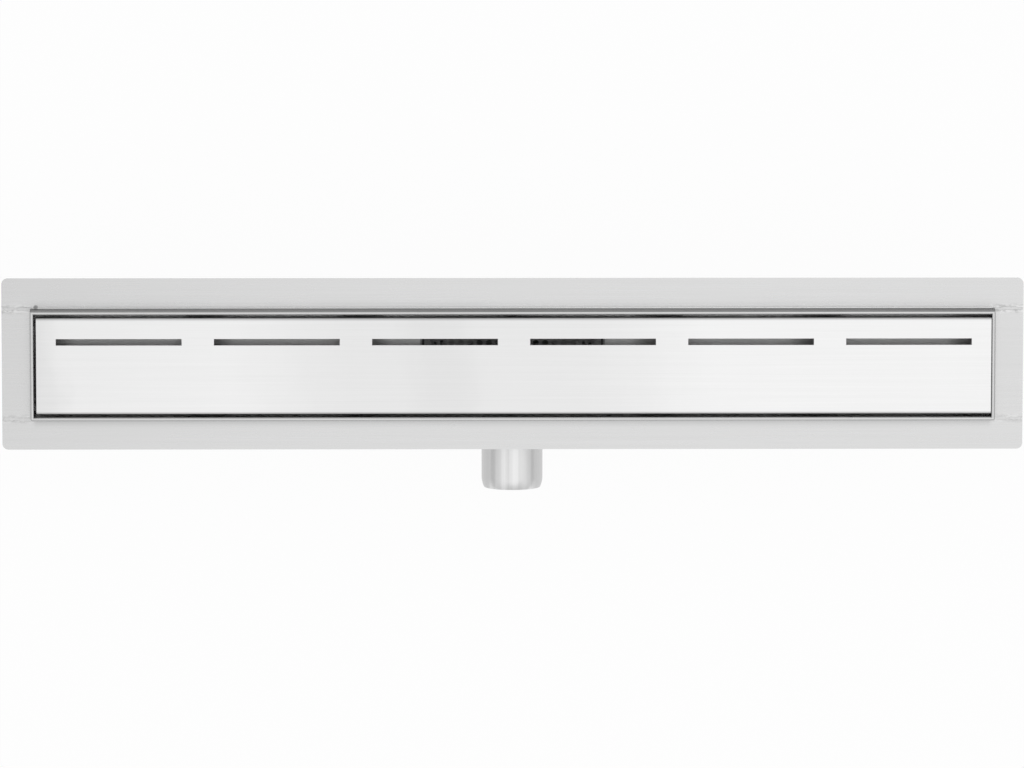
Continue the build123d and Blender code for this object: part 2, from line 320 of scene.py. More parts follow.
class Surface:
    """A material with its Principled shader and Object coordinates at hand."""

    def __init__(self, name: str) -> None:
        """Make an empty material with a shader and an output.

        Args:
            name: The material's name.
        """
        self.material = bpy.data.materials.new(name)
        self.material.use_nodes = True
        self.graph = Graph(self.material.node_tree)
        self.shader = self.graph.add("BsdfPrincipled")
        self.output = self.graph.add("OutputMaterial", {"Surface": self.shader.outputs["BSDF"]})
        self.coordinates = self.graph.add("TexCoord")
        self.vector = self.coordinates.outputs["Object"]

    def place(self) -> Place:
        """The point's place on the object."""
        return self.graph.split(self.vector)

    def normal(self) -> Place:
        """The surface's direction."""
        return self.graph.split(self.coordinates.outputs["Normal"])

    def effect(
        self, tree: bpy.types.NodeTree, vector: bpy.types.NodeSocket, **numbers: float
    ) -> dict[str, Value]:
        """Place a node group.

        Args:
            tree: The group.
            vector: The coordinates it reads.
            numbers: Values for its inputs, with underscores for the spaces in their names.

        Returns:
            The group's outputs by name.
        """
        feeds = {key.replace("_", " ").title(): number for key, number in numbers.items()}
        node = self.graph.add("Group", {"Vector": vector, **feeds}, node_tree=tree)
        return self.graph.outputs(node)

    def bump(self, height: Value, strength: float, depth: float) -> None:
        """Let a height change the shader's normal, with its strength and its depth in metres."""
        node = self.graph.add("Bump", {"Strength": strength, "Distance": depth, "Height": height})
        self.graph.feed(self.shader.inputs["Normal"], node.outputs["Normal"])

    def paint(self, colour: tuple[float, float, float], tint: Value) -> bpy.types.Material:
        """Feed a tinted colour to the shader.

        Args:
            colour: The colour.
            tint: What it is multiplied by.

        Returns:
            The material.
        """
        mixed = self.graph.add("VectorMath", {0: colour, "Scale": tint}, operation="SCALE")
        self.graph.feed(self.shader.inputs["Base Color"], mixed.outputs["Vector"])
        return self.material

    def polish(self, tone: Value, roughness: Value) -> bpy.types.Material:
        """Feed a neutral colour and a roughness to the shader.

        Args:
            tone: The colour.
            roughness: The roughness.

        Returns:
            The material.
        """
        self.graph.feed(self.shader.inputs["Base Color"], self.graph.grey(tone))
        self.graph.feed(self.shader.inputs["Roughness"], roughness)
        return self.material


@dataclass(frozen=True)
class SteelFinish:
    """A stainless sheet finish.

    Args:
        name: The material's name.
        slot: The record's material slot it belongs to.
        tone: The neutral base colour.
        roughness: The mean roughness.
        axis: The direction of the brush lines.
        line_tone: How much single lines change the tone.
        streak_tone: How much broad streaks change the tone.
        cloud_tone: How much soft patches change the tone.
        gloss_change: How much the roughness changes over the sheet.
        line_depth: The depth of the brush lines' bump, in metres.
        line_bump: The strength of that bump.
    """

    name: str
    slot: str
    tone: float
    roughness: float
    axis: BrushAxis = BrushAxis.ALONG_CHANNEL
    line_tone: float = 0.10
    streak_tone: float = 0.08
    cloud_tone: float = 0.06
    gloss_change: float = 0.16
    line_depth: float = 0.012 * MILLIMETRE
    line_bump: float = 0.35

    def surface(self) -> tuple[Surface, Value, Value]:
        """Make the material up to its tone and roughness.

        Returns:
            The surface, and its tone and roughness values, which still have to be fed to the shader.
        """
        made = Surface(self.name)
        sheet = made.effect(
            BRUSHED_SHEET,
            made.graph.mapped(made.vector, Rotation=self.axis.value),
            line_tone=self.line_tone,
            streak_tone=self.streak_tone,
            cloud_tone=self.cloud_tone,
            gloss_change=self.gloss_change,
        )
        made.shader.inputs["Metallic"].default_value = 1.0
        made.bump(sheet["Height"], self.line_bump, self.line_depth)
        return made, sheet["Tone"] * self.tone, sheet["Gloss"] + self.roughness

    def material(self) -> bpy.types.Material:
        """The finished material."""
        made, tone, roughness = self.surface()
        return made.polish(tone, roughness)


@dataclass(frozen=True)
class PlainFinish:
    """A moulded, rubber, cast or plated finish with a fine speckle.

    Args:
        name: The material's name.
        slot: The record's material slot it belongs to.
        colour: The base colour.
        roughness: The roughness.
        metallic: 1 for metal and 0 for plastic or rubber.
        speckle: How much the tone changes.
        grain_depth: The depth of the grain's bump, in metres.
        patch_scale: How many patches of tone there are in a metre.
        grain_bump: The strength of the grain's bump.
    """

    name: str
    slot: str
    colour: tuple[float, float, float]
    roughness: float
    metallic: float = 0.0
    speckle: float = 0.3
    grain_depth: float = 0.02 * MILLIMETRE
    patch_scale: float = 90.0
    grain_bump: float = 0.4

    def surface(self) -> tuple[Surface, Value]:
        """Make the material up to its tint.

        Returns:
            The surface, and its tint about 1, which still has to be painted with the colour.
        """
        made = Surface(self.name)
        speckle = made.effect(SPECKLE, made.vector, amount=self.speckle, patch_scale=self.patch_scale)
        made.graph.feed(made.shader.inputs["Roughness"], speckle["Tone"] * self.roughness)
        made.shader.inputs["Metallic"].default_value = self.metallic
        made.bump(speckle["Height"], self.grain_bump, self.grain_depth)
        return made, speckle["Tone"]

    def material(self) -> bpy.types.Material:
        """The finished material."""
        made, tint = self.surface()
        return made.paint(self.colour, tint)


def grid_faces(rows: int, columns: int, close_rows: bool, close_columns: bool) -> np.ndarray:
    """The quads of a grid of points, numbered row by row.

    Args:
        rows: The number of rows.
        columns: The number of columns.
        close_rows: Whether the last row joins the first.
        close_columns: Whether the last column joins the first.

    Returns:
        One row of four point numbers for each quad.
    """
    row = np.arange(rows if close_rows else rows - 1)
    column = np.arange(columns if close_columns else columns - 1)
    r, c = np.meshgrid(row, column, indexing="ij")
    r_next = (r + 1) % rows
    c_next = (c + 1) % columns
    corners = (r * columns + c, r * columns + c_next, r_next * columns + c_next, r_next * columns + c)
    return np.stack([corner.ravel() for corner in corners], axis=1)


@dataclass
class MeshSheet:
    """Points and faces that are gathered into one mesh piece."""

    points: list[np.ndarray] = field(default_factory=list)
    faces: list[np.ndarray] = field(default_factory=list)
    total: int = 0

    def take(self, grid: np.ndarray, close_rows: bool, close_columns: bool) -> None:
        """Add a grid of points as quads.

        Args:
            grid: The points, rows by columns by three.
            close_rows: Whether the last row joins the first.
            close_columns: Whether the last column joins the first.
        """
        rows, columns, _ = grid.shape
        self.faces.append(grid_faces(rows, columns, close_rows, close_columns) + self.total)
        self.points.append(grid.reshape(-1, 3))
        self.total += rows * columns

    def piece(self, name: str, material: bpy.types.Material, sharp_deg: float) -> bpy.types.Object:
        """Make the piece, with smooth faces and with edges left sharp above an angle.

        Args:
            name: The piece's name.
            material: Its finish.
            sharp_deg: The angle between two faces above which their edge is sharp.

        Returns:
            The new object, at the origin.
        """
        mesh = bpy.data.meshes.new(name)
        mesh.from_pydata(np.concatenate(self.points).tolist(), [], np.concatenate(self.faces).tolist())
        mesh.polygons.foreach_set("use_smooth", np.ones(len(mesh.polygons), dtype=bool))
        mesh.set_sharp_from_angle(angle=math.radians(sharp_deg))
        mesh.materials.append(material)
        mesh.validate()
        mesh.update()
        made = bpy.data.objects.new(name, mesh)
        bpy.context.scene.collection.objects.link(made)
        log.info("%s: %d faces", name, len(mesh.polygons))
        return made


def lathe(profile: np.ndarray, sides: int) -> np.ndarray:
    """A profile carried round the Z axis.

    A profile point (r, z) at the turn t lies at (r cos t, r sin t, z).

    Args:
        profile: Points as radius and height, anticlockwise about the section.
        sides: The number of points round the axis.

    Returns:
        The grid, with one row for each turn and one column for each profile point.
    """
    turn = np.linspace(0.0, 2.0 * np.pi, sides, endpoint=False)[:, None]
    radius, height = profile[None, :, 0], profile[None, :, 1]
    return np.stack(np.broadcast_arrays(radius * np.cos(turn), radius * np.sin(turn), height), axis=-1)


def bead(
    path: np.ndarray, side: np.ndarray, up: np.ndarray, half_width: np.ndarray, height: np.ndarray
) -> np.ndarray:
    """A weld bead: a lens section carried along a path and closed to a point at both ends.

    At the angle a round the section, a point lies half_width cos a to the side of the path, and
    above it by height sin a, or a tenth of that below it.

    Args:
        path: Points along the middle of the bead's foot.
        side: Unit vectors across the bead at each point.
        up: Unit vectors away from the sheet at each point.
        half_width: Half the bead's width at each point.
        height: The bead's height at each point.

    Returns:
        The grid, with one row for each point of the path and one column round the section.
    """
    angle = np.linspace(0.0, 2.0 * np.pi, BEAD_POINTS, endpoint=False)
    across = np.cos(angle)[None, :] * half_width[:, None]
    rise = np.sin(angle)[None, :]
    lift = np.where(rise > 0.0, rise, BEAD_SINK * rise) * height[:, None]
    return path[:, None, :] + across[..., None] * side[:, None, :] + lift[..., None] * up[:, None, :]


@dataclass(frozen=True)
class HandBead:
    """The size and unevenness of a bead that was laid by hand.

    Args:
        half_width: Half its mean width.
        height: Its mean height.
        uneven: How far slow waves change its width and height, as a share.
        wander: How far slow waves move it sideways, as a share of its half width.
        ripple: The length of one ripple of the torch.
        ripple_rise: How far a ripple lifts it, as a share of its height.
        seed: The seed of its slow waves.
        step: The distance between points along it, as a share of a ripple.
        fewest: The fewest points along a straight bead.
        tip: The share of its size that is left at its ends.
        ring_lift: How far a ring's foot is lifted off the corner, as a share of its half width.
    """

    half_width: float
    height: float
    uneven: float = 0.3
    wander: float = 0.0
    ripple: float = 1.3 * MILLIMETRE
    ripple_rise: float = 0.12
    seed: int = 1
    step: float = 0.27
    fewest: int = 12
    tip: float = 1e-4
    ring_lift: float = 0.9

    def waves(self, along: np.ndarray, salt: int) -> np.ndarray:
        """A sum of three whole sine waves along the bead, each shorter and lower than the one before.

        Args:
            along: The share of the length at each point.
            salt: A number that tells this sum from others of the same bead.

        Returns:
            The sum at each point, between about -0.8 and 0.8.
        """
        draws = np.random.default_rng(SEED_STEP * salt + self.seed)
        phase = draws.uniform(0.0, 2.0 * np.pi, BEAD_WAVES)
        return sum(np.sin((2 + 4 * k) * np.pi * along + phase[k]) / (3.0 + k) for k in range(BEAD_WAVES))

    def straight(self, start: np.ndarray, end: np.ndarray, up: np.ndarray) -> np.ndarray:
        """A straight bead.

        Width and height follow a sine ripple and the slow waves, and fall to nothing at the two
        ends along a quarter circle.

        Args:
            start: Where it starts.
            end: Where it ends.
            up: The direction away from the sheet.

        Returns:
            The bead's grid.
        """
        length = float(np.linalg.norm(end - start))
        along = np.linspace(0.0, 1.0, max(self.fewest, int(length / (self.step * self.ripple))))
        across = np.cross((end - start) / length, up)
        from_end = np.minimum(along, 1.0 - along) * length / self.half_width
        taper = np.sqrt(np.clip(1.0 - (1.0 - np.clip(from_end, 0.0, 1.0)) ** 2, 0.0, 1.0)) + self.tip
        aside = self.wander * self.half_width * self.waves(along, 2)
        path = start[None, :] + along[:, None] * (end - start)[None, :] + aside[:, None] * across[None, :]
        size = 1.0 + self.uneven * self.waves(along, 1)
        ripple = self.ripple_rise * np.sin(2.0 * np.pi * along * length / self.ripple)
        side, ups = np.broadcast_to(across, path.shape), np.broadcast_to(up, path.shape)
        return bead(path, side, ups, self.half_width * taper * size, self.height * taper * (size + ripple))

    def ring(self, centre: np.ndarray, radius: float) -> np.ndarray:
        """A closed fillet bead round a pipe that leaves a wall towards -Y.

        At the turn t the outward direction is o = (cos t, 0, sin t), and the bead's foot lies on
        the pipe's radius along o. Its section leans halfway between o and -Y, and is lifted by most
        of its half width, so that one toe lies on the wall and the other on the pipe.

        Args:
            centre: The middle of the pipe on the wall's face.
            radius: The pipe's radius.

        Returns:
            The bead's grid, which closes both ways.
        """
        around = 2.0 * np.pi * radius
        steps = int(around / (self.step * self.ripple))
        share = np.linspace(0.0, 1.0, steps, endpoint=False)
        turn = 2.0 * np.pi * share
        outward = np.stack([np.cos(turn), np.zeros(steps), np.sin(turn)], axis=1)
        away = np.array((0.0, -1.0, 0.0))
        up = (outward + away) / math.sqrt(2.0)
        side = (outward - away) / math.sqrt(2.0)
        size = 1.0 + self.uneven * self.waves(share, 1)
        ripple = self.ripple_rise * np.sin(round(around / self.ripple) * turn)
        path = centre + radius * outward + self.ring_lift * self.half_width * up
        return bead(path, -side, up, self.half_width * size, self.height * (size + ripple))


@dataclass
class DrainSizes:
    """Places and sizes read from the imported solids, in metres."""

    half_length: float
    rim_half_length: float
    rim_half_width: float
    rim_top: float
    flange_top: float
    floor_under: float
    pipe_axis: float
    pipe_radius: float
    pipe_front: float
    pipe_end: float
    ground: float
    hem: float = 2.6 * MILLIMETRE

    @classmethod
    def from_frame(cls) -> "DrainSizes":
        """Read them from the nodes' boxes, the record's mounts and the joints.

        Returns:
            The sizes.
        """
        channel_low, channel_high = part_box("channel_trough")
        end_low, end_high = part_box("end_plate_right")
        pipe_low, pipe_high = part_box("outlet_spigot")
        mounts = {mount["name"]: mount["pos_m"] for mount in frame["record"]["mounts"]}
        foot_reach = max(joint["range_m"][1] for joint in frame["joints"])
        return cls(
            half_length=channel_high.x,
            rim_half_length=end_low.x + cls.hem,
            rim_half_width=end_high.y,
            rim_top=end_high.z,
            flange_top=mounts["membrane_flange_front"][2],
            floor_under=channel_low.z,
            pipe_axis=(pipe_low.z + pipe_high.z) / 2,
            pipe_radius=(pipe_high.x - pipe_low.x) / 2,
            pipe_front=pipe_high.y,
            pipe_end=pipe_low.y,
            ground=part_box("foot_pad_1")[0].z - foot_reach,
        )


SIZES = DrainSizes.from_frame()


def dress(material: bpy.types.Material, *nodes: str) -> None:
    """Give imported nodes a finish.

    Args:
        material: The finish.
        nodes: The nodes' names.
    """
    for name in nodes:
        slots = frame["nodes"][name].data.materials
        slots.clear()
        slots.append(material)
        log.info("%s wears %s", name, material.name)


def settle(piece: bpy.types.Object, body: str, slot: str, *replaced: str) -> None:
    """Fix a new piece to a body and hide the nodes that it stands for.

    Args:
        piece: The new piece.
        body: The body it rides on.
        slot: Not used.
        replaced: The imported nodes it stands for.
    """
    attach(piece, body)
    if replaced:
        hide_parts(*replaced)


class ChannelPlan:
    """Distances and masks over the channel, which its marks share.

    The distance outside the rim is the larger of |y| less the rim's half width and |x| less its half
    length. The wall masks show the rim's outside wall and its fold, by how upright the surface is.
    """

    BEND = (0.75, 0.99)
    STEEP = (0.05, 0.30)
    WALL_FOOT = 0.3 * MILLIMETRE
    WALL_DEPTH = 1.4 * MILLIMETRE
    FLOOR_START = 0.6 * MILLIMETRE
    FLOOR_FADE = (4.0 * MILLIMETRE, 8.0 * MILLIMETRE)

    def __init__(self, made: Surface) -> None:
        """Work them out.

        Args:
            made: The surface that gets the marks.
        """
        self.place = made.place()
        self.normal = made.normal()
        self.along = abs(self.place.x) - SIZES.rim_half_length
        self.beside = abs(self.place.y) - SIZES.rim_half_width
        self.outside = self.beside.larger(self.along)
        above = self.place.z > SIZES.flange_top - self.WALL_FOOT
        wall = above * (self.outside > -self.WALL_DEPTH)
        self.bend = abs(self.normal.z).fade(*self.BEND) * wall
        self.steep = abs(self.normal.z).fade(*self.STEEP) * wall
        low, high = (SIZES.floor_under + rise for rise in self.FLOOR_FADE)
        self.floor = self.place.z.fade(low, high) * (self.place.z > SIZES.floor_under + self.FLOOR_START)


@dataclass(frozen=True)
class SeamMarks:
    """The marks of welding and grinding along the four flange seams.

    Thin dark lines run along both toes of the bead, broken by noise, and streaky noise smears fade
    out to each side. The front seams are ground cleaner. A burn mark lies beside one corner.

    Args:
        toe_line: Where a toe's line starts to fade and where it ends, from its middle.
        toe_dark: How dark the toes are.
        toe_grain: The noise that breaks them.
        toe_breaks: The noise below which there is none, and above which they are whole.
        wander: How far the toes wander.
        wander_grain: The noise they wander by.
        smear_reach: How far the smears reach.
        smear_grain: Their noise.
        smear_range: The noise where they are darkest and where they are lightest.
        smear_dark: How dark they are.
        smear_light: How light they are.
        front_share: How much of it the front seams have.
        core: The share of a smear's or the burn's reach within which it is full.
        burn_spot: The burn's place along the channel and across it, and its reach.
        burn_dark: How dark the burn is.
        end_soft: How far the marks fade at the rim's ends.
    """

    toe_line: tuple[float, float] = (0.1 * MILLIMETRE, 0.6 * MILLIMETRE)
    toe_dark: float = 0.30
    toe_grain: Grain = Grain((210.0, 300.0, 300.0))
    toe_breaks: tuple[float, float] = (0.46, 0.66)
    wander: float = 3.0 * MILLIMETRE
    wander_grain: Grain = Grain(130.0)
    smear_reach: float = 5.0 * MILLIMETRE
    smear_grain: Grain = Grain((150.0, 360.0, 360.0), 4.0, 0.6)
    smear_range: tuple[float, float] = (0.34, 0.64)
    smear_dark: float = 0.30
    smear_light: float = 0.12
    front_share: float = 0.5
    core: float = 0.3
    burn_spot: tuple[float, float, float] = (-0.3873, 0.0466, 0.0024)
    burn_dark: float = 0.55
    end_soft: float = 2.0 * MILLIMETRE

    def tone(self, made: Surface, plan: ChannelPlan, toe: float) -> Value:
        """A factor for the tone, about 1.

        Args:
            made: The surface that gets the marks.
            plan: The channel's distances and masks.
            toe: The distance of a toe from its seam.

        Returns:
            The factor.
        """
        place = plan.place
        distance = abs(plan.beside)
        level = abs(place.z - SIZES.flange_top) < MILLIMETRE
        strength = place.y.ramp(-MILLIMETRE, MILLIMETRE, self.front_share, 1.0)
        here = plan.along.ramp(-self.end_soft, self.end_soft) * level * strength
        broken = made.graph.noise(made.vector, self.toe_grain).ramp(*self.toe_breaks)
        wander = (made.graph.noise(made.vector, self.wander_grain) - MEAN_NOISE) * self.wander
        dark = abs(distance + wander - toe).fade(*self.toe_line) * broken * self.toe_dark
        streaks = made.graph.noise(made.vector, self.smear_grain)
        smear = streaks.ramp(*self.smear_range, -self.smear_dark, self.smear_light)
        smear = smear * distance.fade(self.core * self.smear_reach, self.smear_reach)
        x, y, reach = self.burn_spot
        from_burn = ((place.x - x) ** 2.0 + (place.y - y) ** 2.0) ** 0.5 + wander
        burnt = from_burn.fade(self.core * reach, reach) * self.burn_dark
        return (smear - dark) * here + 1.0 - burnt * level


@dataclass(frozen=True)
class FoldMarks:
    """Painted shade on the outside wall and on the flange at its foot, and painted light along the back.

    The painted shade fades out over the distance outside the rim, and further along the front, where it
    falls with the square of the share of its reach that is left. Along the back the flange is
    painted brighter instead, a painted highlight that falls evenly with the distance.

    Args:
        wall_dark: How dark the painted shade on the outside wall and its fold is.
        steep_dark: How much darker the painted shade on the upright wall is.
        back_dark: How much darker the painted shade on the wall at the back is.
        back_facing: How far a wall faces back where that starts and where it is full.
        fold_reach: How far the shade at the wall's foot reaches.
        fold_shade: How dark it is.
        front_reach: How far the shade along the front reaches.
        front_shade: How dark it is.
        front_soft: How far it fades at the rim's ends.
        back_reach: How far the painted light along the back reaches.
        back_polish: How bright it is.
        back_soft: How far it fades at the rim's ends.
        foot: How far inside the rim's outside the shade at the foot begins.
    """

    wall_dark: float = 0.14
    steep_dark: float = 0.10
    back_dark: float = 0.26
    back_facing: tuple[float, float] = (0.1, 0.5)
    fold_reach: float = 1.4 * MILLIMETRE
    fold_shade: float = 0.10
    front_reach: float = 9.0 * MILLIMETRE
    front_shade: float = 0.36
    front_soft: float = 4.0 * MILLIMETRE
    back_reach: float = 4.2 * MILLIMETRE
    back_polish: float = 0.40
    back_soft: float = 2.0 * MILLIMETRE
    foot: float = 0.3 * MILLIMETRE

    def tone(self, plan: ChannelPlan) -> Value:
        """A factor for the tone, about 1.

        Args:
            plan: The channel's distances and masks.

        Returns:
            The factor.
        """
        # Painted shade on the outside wall, on the flange at its foot and along the front.
        facing = plan.normal.y.ramp(*self.back_facing, 0.0, self.back_dark)
        wall = plan.bend * (facing + self.wall_dark) + plan.steep * self.steep_dark
        strip = plan.outside.fade(0.0, self.fold_reach) * self.fold_shade
        front = plan.place.y * -1.0 - SIZES.rim_half_width
        shade = (1.0 - front / self.front_reach).larger(0.0) ** 2.0 * self.front_shade
        shade = shade * plan.along.fade(-self.front_soft, 0.0) * (front > 0.0)
        dark = wall.larger(strip.larger(shade) * (plan.outside > -self.foot))
        # Painted light: the flange along the back is painted brighter, fading with the distance.
        back = plan.place.y - SIZES.rim_half_width
        polish = (1.0 - back / self.back_reach).larger(0.0) * (back > 0.0)
        polish = polish * plan.along.ramp(-self.back_soft, 0.0, self.back_polish, 0.0)
        return 1.0 - dark + polish


@dataclass(frozen=True)
class TroughMarks:
    """Painted shade on the trough's inside walls, painted light on its floor, and bands of painted shade across
    the floor.

    A band of painted shade crosses the floor under the outer end of each slot. With |x| as the place
    along a half, the distance from the nearest band is |m - pitch/2|, where m is the place of the last
    slot's end less |x|, plus half the pitch, modulo the pitch. On the left half the bands lie further out.

    Args:
        floor_bright: How much painted light brightens the floor.
        inside_dark: How much painted shade darkens the walls.
        inside: How far inside the rim's outside they begin.
        inside_fade: How far under the rim's top the walls are full, and where they begin.
        slot_end: The last slot's end.
        slot_pitch: The slots' pitch.
        stain_core: The distance from a band's middle within which it is full.
        stain_reach: The distance where it ends.
        stain_aside: How much further out the left bands lie.
        stain_dark: How dark the bands of painted shade are.
    """

    floor_bright: float = 0.44
    inside_dark: float = 0.45
    inside: float = 1.3 * MILLIMETRE
    inside_fade: tuple[float, float] = (4.0 * MILLIMETRE, 1.0 * MILLIMETRE)
    slot_end: float = 374.3 * MILLIMETRE
    slot_pitch: float = 128.7 * MILLIMETRE
    stain_core: float = 6.0 * MILLIMETRE
    stain_reach: float = 24.0 * MILLIMETRE
    stain_aside: float = 3.2 * MILLIMETRE
    stain_dark: float = 0.47

    def tone(self, plan: ChannelPlan) -> Value:
        """A factor for the tone.

        Args:
            plan: The channel's distances and masks.

        Returns:
            The factor.
        """
        x, z = plan.place.x, plan.place.z
        half = self.slot_pitch / 2
        from_last = (x < 0.0) * self.stain_aside + (self.slot_end + half) - abs(x)
        from_band = abs(from_last % self.slot_pitch - half)
        # Painted shade in bands across the floor under the slots' outer ends.
        stain = from_band.fade(self.stain_core, self.stain_reach) * plan.floor * self.stain_dark
        # Painted shade on the inside walls, and painted light on the floor.
        full, start = (SIZES.rim_top - drop for drop in self.inside_fade)
        wall = (plan.outside < -self.inside) * z.fade(full, start) * (1.0 - plan.floor)
        return (plan.floor * self.floor_bright + 1.0 - wall * self.inside_dark) * (1.0 - stain)


@dataclass
class ChannelBody:
    """The folded channel and its end sheets, with the dressed welds between their flanges."""

    finish: SteelFinish = SteelFinish("channel_satin_steel", "body_steel", 0.652, 0.27, cloud_tone=0.05)
    weld: PlainFinish = PlainFinish(
        "dressed_weld", "body_steel", (0.67, 0.67, 0.67), 0.38, 1.0, 0.75, 0.04 * MILLIMETRE, 330.0
    )
    bead: HandBead = HandBead(1.3 * MILLIMETRE, 0.22 * MILLIMETRE, 0.5, 0.5)
    seams: SeamMarks = SeamMarks()
    # Painted shade at the rim's outside wall and fold, and painted light along the back.
    folds: FoldMarks = FoldMarks()
    # Painted light on the trough's floor, and painted shade on its walls and in bands across it.
    trough: TroughMarks = TroughMarks()
    bend_rough: float = -0.14
    steep_rough: float = 0.42
    floor_rough: float = 0.12
    edge: float = 1.0 * MILLIMETRE
    first_seed: int = 11

    def material(self) -> bpy.types.Material:
        """Mark the satin finish with the seams, and paint light and shade at the rim's fold and in the trough.

        Returns:
            The material.
        """
        made, tone, roughness = self.finish.surface()
        plan = ChannelPlan(made)
        tone = tone * self.seams.tone(made, plan, self.bead.half_width)
        # Painted shade and painted light at the rim's fold and in the trough.
        tone = tone * self.folds.tone(plan) * self.trough.tone(plan)
        roughness = roughness + plan.bend * self.bend_rough + plan.steep * self.steep_rough
        return made.polish(tone, roughness + plan.floor * self.floor_rough)

    def flange_welds(self) -> bpy.types.Object:
        """Lay four beads on top of the flange, from the rim's corners to the short edges.

        Returns:
            The new piece.
        """
        sheet = MeshSheet()
        up = np.array((0.0, 0.0, 1.0))
        for index, (end, side) in enumerate(((-1, -1), (-1, 1), (1, -1), (1, 1))):
            y = side * SIZES.rim_half_width
            start = np.array((end * (SIZES.rim_half_length - self.edge), y, SIZES.flange_top))
            stop = np.array((end * (SIZES.half_length - self.edge), y, SIZES.flange_top))
            height = self.bead.height * (self.seams.front_share if side < 0 else 1.0)
            one = replace(self.bead, height=height, seed=self.first_seed + index)
            sheet.take(one.straight(start, stop, up), False, True)
        return sheet.piece("flange_corner_welds", self.weld.material(), BEAD_SHARP)

    def build(self) -> None:
        """Dress the channel and add its welds."""
        dress(self.material(), "channel_trough", "end_plate_left", "end_plate_right")
        settle(self.flange_welds(), "drain", self.weld.slot)


@dataclass(frozen=True)
class Band:
    """A soft band across the cover or along the pipe, where the tone is lifted or lowered: on the pipe, a painted
    reflection.

    Args:
        middle: Its place along X, in metres.
        core: The distance from its middle within which it is full.
        reach: The distance where it ends.
        change: How much it lifts or lowers the tone.
    """

    middle: float
    core: float
    reach: float
    change: float

    def at(self, x: Value) -> Value:
        """The change of tone at the place x."""
        return abs(x - self.middle).fade(self.core, self.reach) * self.change


@dataclass
class Cover:
    """The slotted cover and the bent strips that carry it."""

    finish: SteelFinish = SteelFinish("cover_brushed_steel", "cover_steel", 0.83, 0.30)
    strip: SteelFinish = SteelFinish("support_strip_steel", "cover_steel", 0.55, 0.40, BrushAxis.ALONG_PIPE)
    patches: tuple[Band, ...] = (
        Band(-0.035, 0.090, 0.210, -0.085),
        Band(-0.058, 0.010, 0.040, -0.040),
        Band(-0.400, 0.010, 0.042, -0.090),
    )
    wander: float = 0.05
    wander_grain: Grain = Grain((22.0, 12.0, 12.0), 3.0, 0.6)

    def material(self) -> bpy.types.Material:
        """Darken the brushed finish in soft patches along X, whose edges wander by noise.

        Returns:
            The material.
        """
        made, tone, roughness = self.finish.surface()
        wander = (made.graph.noise(made.vector, self.wander_grain) - MEAN_NOISE) * self.wander
        x = made.place().x + wander
        for patch in self.patches:
            tone = tone * (patch.at(x) + 1.0)
        return made.polish(tone, roughness)

    def build(self) -> None:
        """Dress the cover and its supports."""
        dress(self.material(), "cover_plate")
        supports = [name for name in frame["nodes"] if name.startswith("cover_support")]
        dress(self.strip.material(), *supports)


@dataclass
class OutletPipe:
    """The outlet pipe, turned finely, with its end drawn in."""

    finish: SteelFinish = SteelFinish(
        "drawn_pipe_steel", "pipe_steel", 0.74, 0.31, BrushAxis.ALONG_PIPE, streak_tone=0.12
    )
    # Painted reflection: lighter and darker bands along the pipe, across X.
    bands: tuple[Band, ...] = (
        Band(-0.0230, 0.0030, 0.0058, -0.21),
        Band(-0.0090, 0.0040, 0.0060, 0.17),
        Band(-0.0072, 0.0014, 0.0020, 0.08),
        Band(-0.0042, 0.0010, 0.0016, -0.06),
        Band(0.0025, 0.0020, 0.0026, 0.06),
        Band(0.0126, 0.0030, 0.0070, 0.19),
        Band(0.0168, 0.0010, 0.0020, -0.16),
        Band(0.0225, 0.0030, 0.0052, -0.20),
    )
    wall: float = 1.2 * MILLIMETRE
    neck_length: float = 8.7 * MILLIMETRE
    neck_step: float = 2.0 * MILLIMETRE
    sides: int = 160
    wall_points: int = 8
    neck_points: int = 14
    sharp_deg: float = 40.0

    def material(self) -> bpy.types.Material:
        """Paint the drawn finish with bands of painted reflection along the pipe, lighter and darker across X.

        Returns:
            The material.
        """
        made, tone, roughness = self.finish.surface()
        x = made.place().x
        change = 1.0
        for band in self.bands:
            change = change + band.at(x)
        return made.polish(tone * change, roughness)

    def profile(self) -> np.ndarray:
        """The wall's section: straight, then an arc that leaves it along a tangent and draws the end in.

        Returns:
            Points as radius and distance from the tub, round the section.
        """
        straight = SIZES.pipe_front - SIZES.pipe_end - self.neck_length
        arc = (self.neck_length ** 2 + self.neck_step ** 2) / (2.0 * self.neck_step)
        reach = np.linspace(0.0, self.neck_length, self.neck_points)
        drawn_in = arc - np.sqrt(arc ** 2 - reach ** 2)
        plain = np.linspace(0.0, straight, self.wall_points)[:-1]
        radius = SIZES.pipe_radius - np.concatenate([np.zeros_like(plain), drawn_in])
        outside = np.stack([radius, np.concatenate([plain, straight + reach])], axis=1)
        inside = outside[::-1] - np.array((self.wall, 0.0))
        return np.concatenate([outside, inside])

    def build(self) -> None:
        """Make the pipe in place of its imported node."""
        x, z, reach = np.moveaxis(lathe(self.profile(), self.sides), -1, 0)
        sheet = MeshSheet()
        sheet.take(np.stack([x, SIZES.pipe_front - reach, z + SIZES.pipe_axis], axis=-1), True, True)
        pipe = sheet.piece("outlet_pipe", self.material(), self.sharp_deg)
        settle(pipe, "drain", self.finish.slot, "outlet_spigot")


